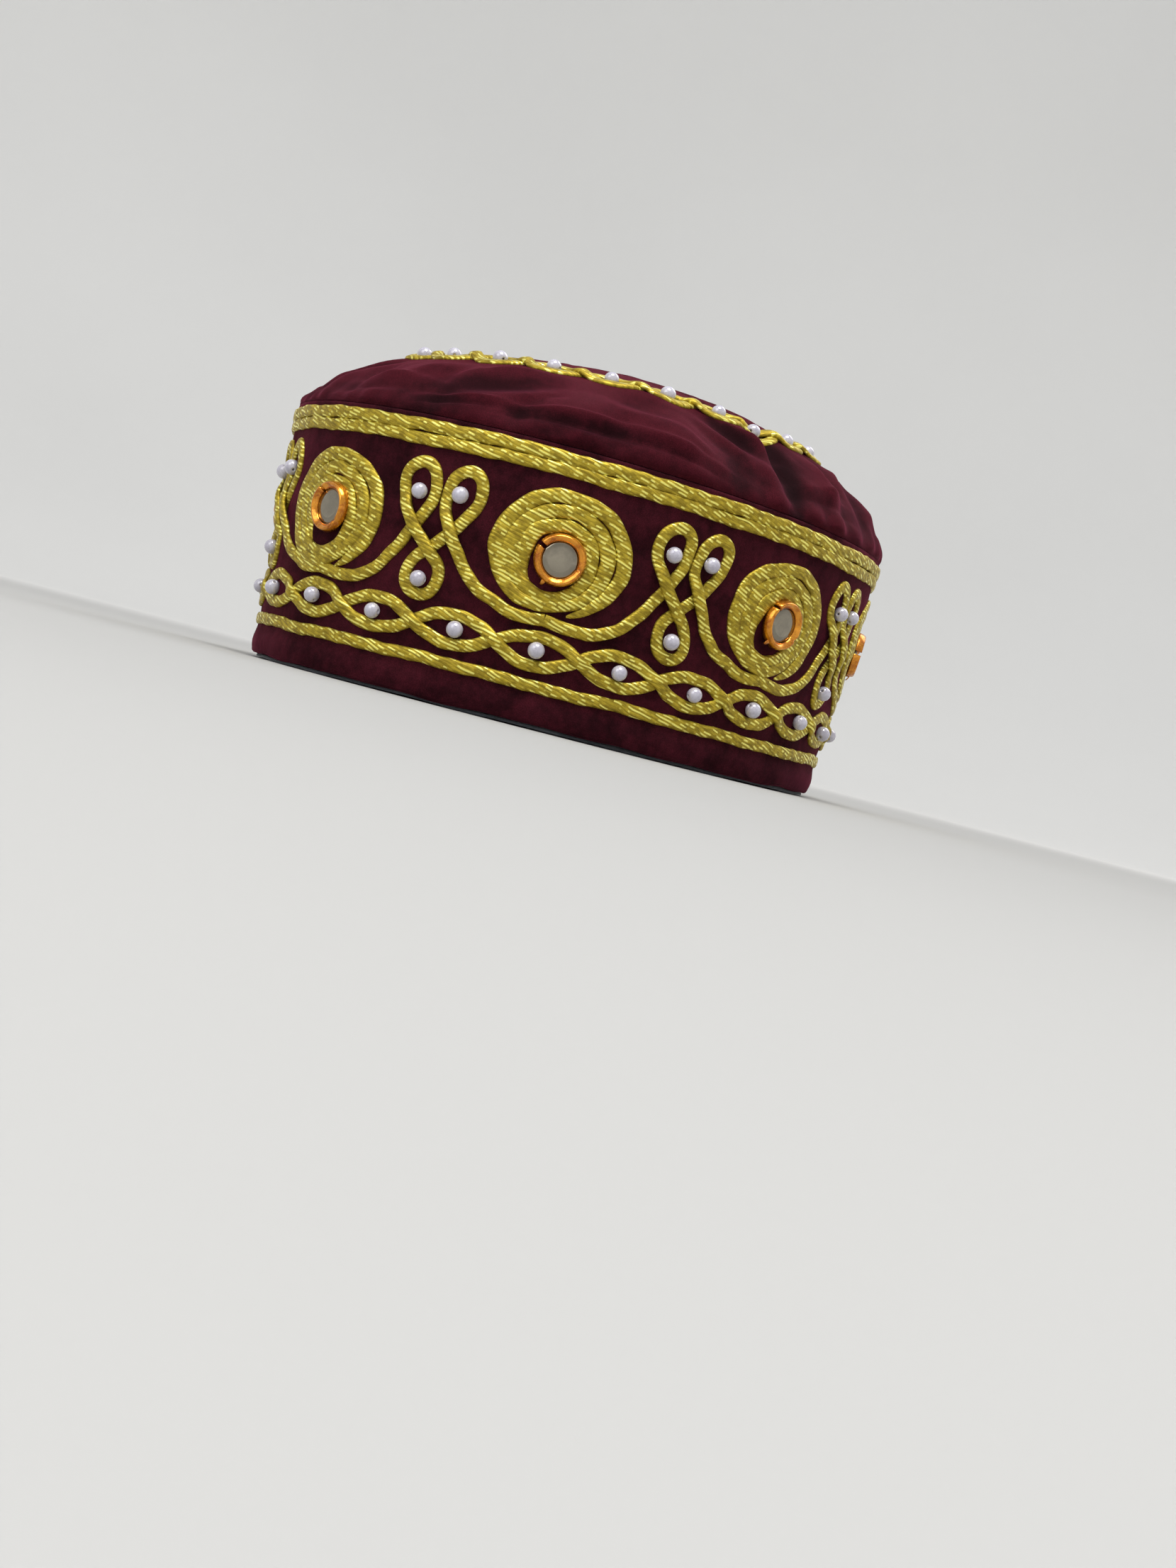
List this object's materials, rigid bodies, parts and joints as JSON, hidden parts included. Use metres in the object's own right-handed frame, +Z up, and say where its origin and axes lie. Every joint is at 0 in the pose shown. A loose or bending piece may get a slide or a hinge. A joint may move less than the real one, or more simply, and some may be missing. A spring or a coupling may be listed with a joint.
{
  "type": "kufi cap",
  "caption": "Velvet kufi cap with a near-upright band and a soft domed crown, couched with gold cord in coils, looped knots and wave chains, with small mirrors; stands on its rim.",
  "frame": {"origin": "centre of the oval rim, in the plane that the rim stands on", "axes": "+Z up through the crown, -Y towards the forehead, +X towards the wearer's left"},
  "size_m": [0.1866, 0.2086, 0.1163],
  "materials": {
    "velvet": "burgundy cotton velvet, soft pile",
    "lining": "plain charcoal cotton weave",
    "gold_cord": "flat cord wound with gold metallised thread",
    "amber_cup": "amber lacquer, glossy",
    "mirror": "small silvered glass",
    "pearl": "pearl white, glossy"
  },
  "bodies": {
    "root": {"side_band": "velvet", "crown": "velvet", "lining": "lining", "lower_cord": "gold_cord", "upper_cord_lower": "gold_cord", "upper_cord_upper": "gold_cord", "side_wave_a": "gold_cord", "side_wave_b": "gold_cord", "crown_wave_a": "gold_cord", "crown_wave_b": "gold_cord", "coil_1": "gold_cord", "coil_2": "gold_cord", "coil_3": "gold_cord", "coil_4": "gold_cord", "coil_5": "gold_cord", "coil_6": "gold_cord", "coil_7": "gold_cord", "coil_8": "gold_cord", "knot_1": "gold_cord", "knot_2": "gold_cord", "knot_3": "gold_cord", "knot_4": "gold_cord", "knot_5": "gold_cord", "knot_6": "gold_cord", "knot_7": "gold_cord", "knot_8": "gold_cord", "mirror_cup_1": "amber_cup", "mirror_cup_2": "amber_cup", "mirror_cup_3": "amber_cup", "mirror_cup_4": "amber_cup", "mirror_cup_5": "amber_cup", "mirror_cup_6": "amber_cup", "mirror_cup_7": "amber_cup", "mirror_cup_8": "amber_cup", "mirror_1": "mirror", "mirror_2": "mirror", "mirror_3": "mirror", "mirror_4": "mirror", "mirror_5": "mirror", "mirror_6": "mirror", "mirror_7": "mirror", "mirror_8": "mirror"}
  },
  "joints": []
}
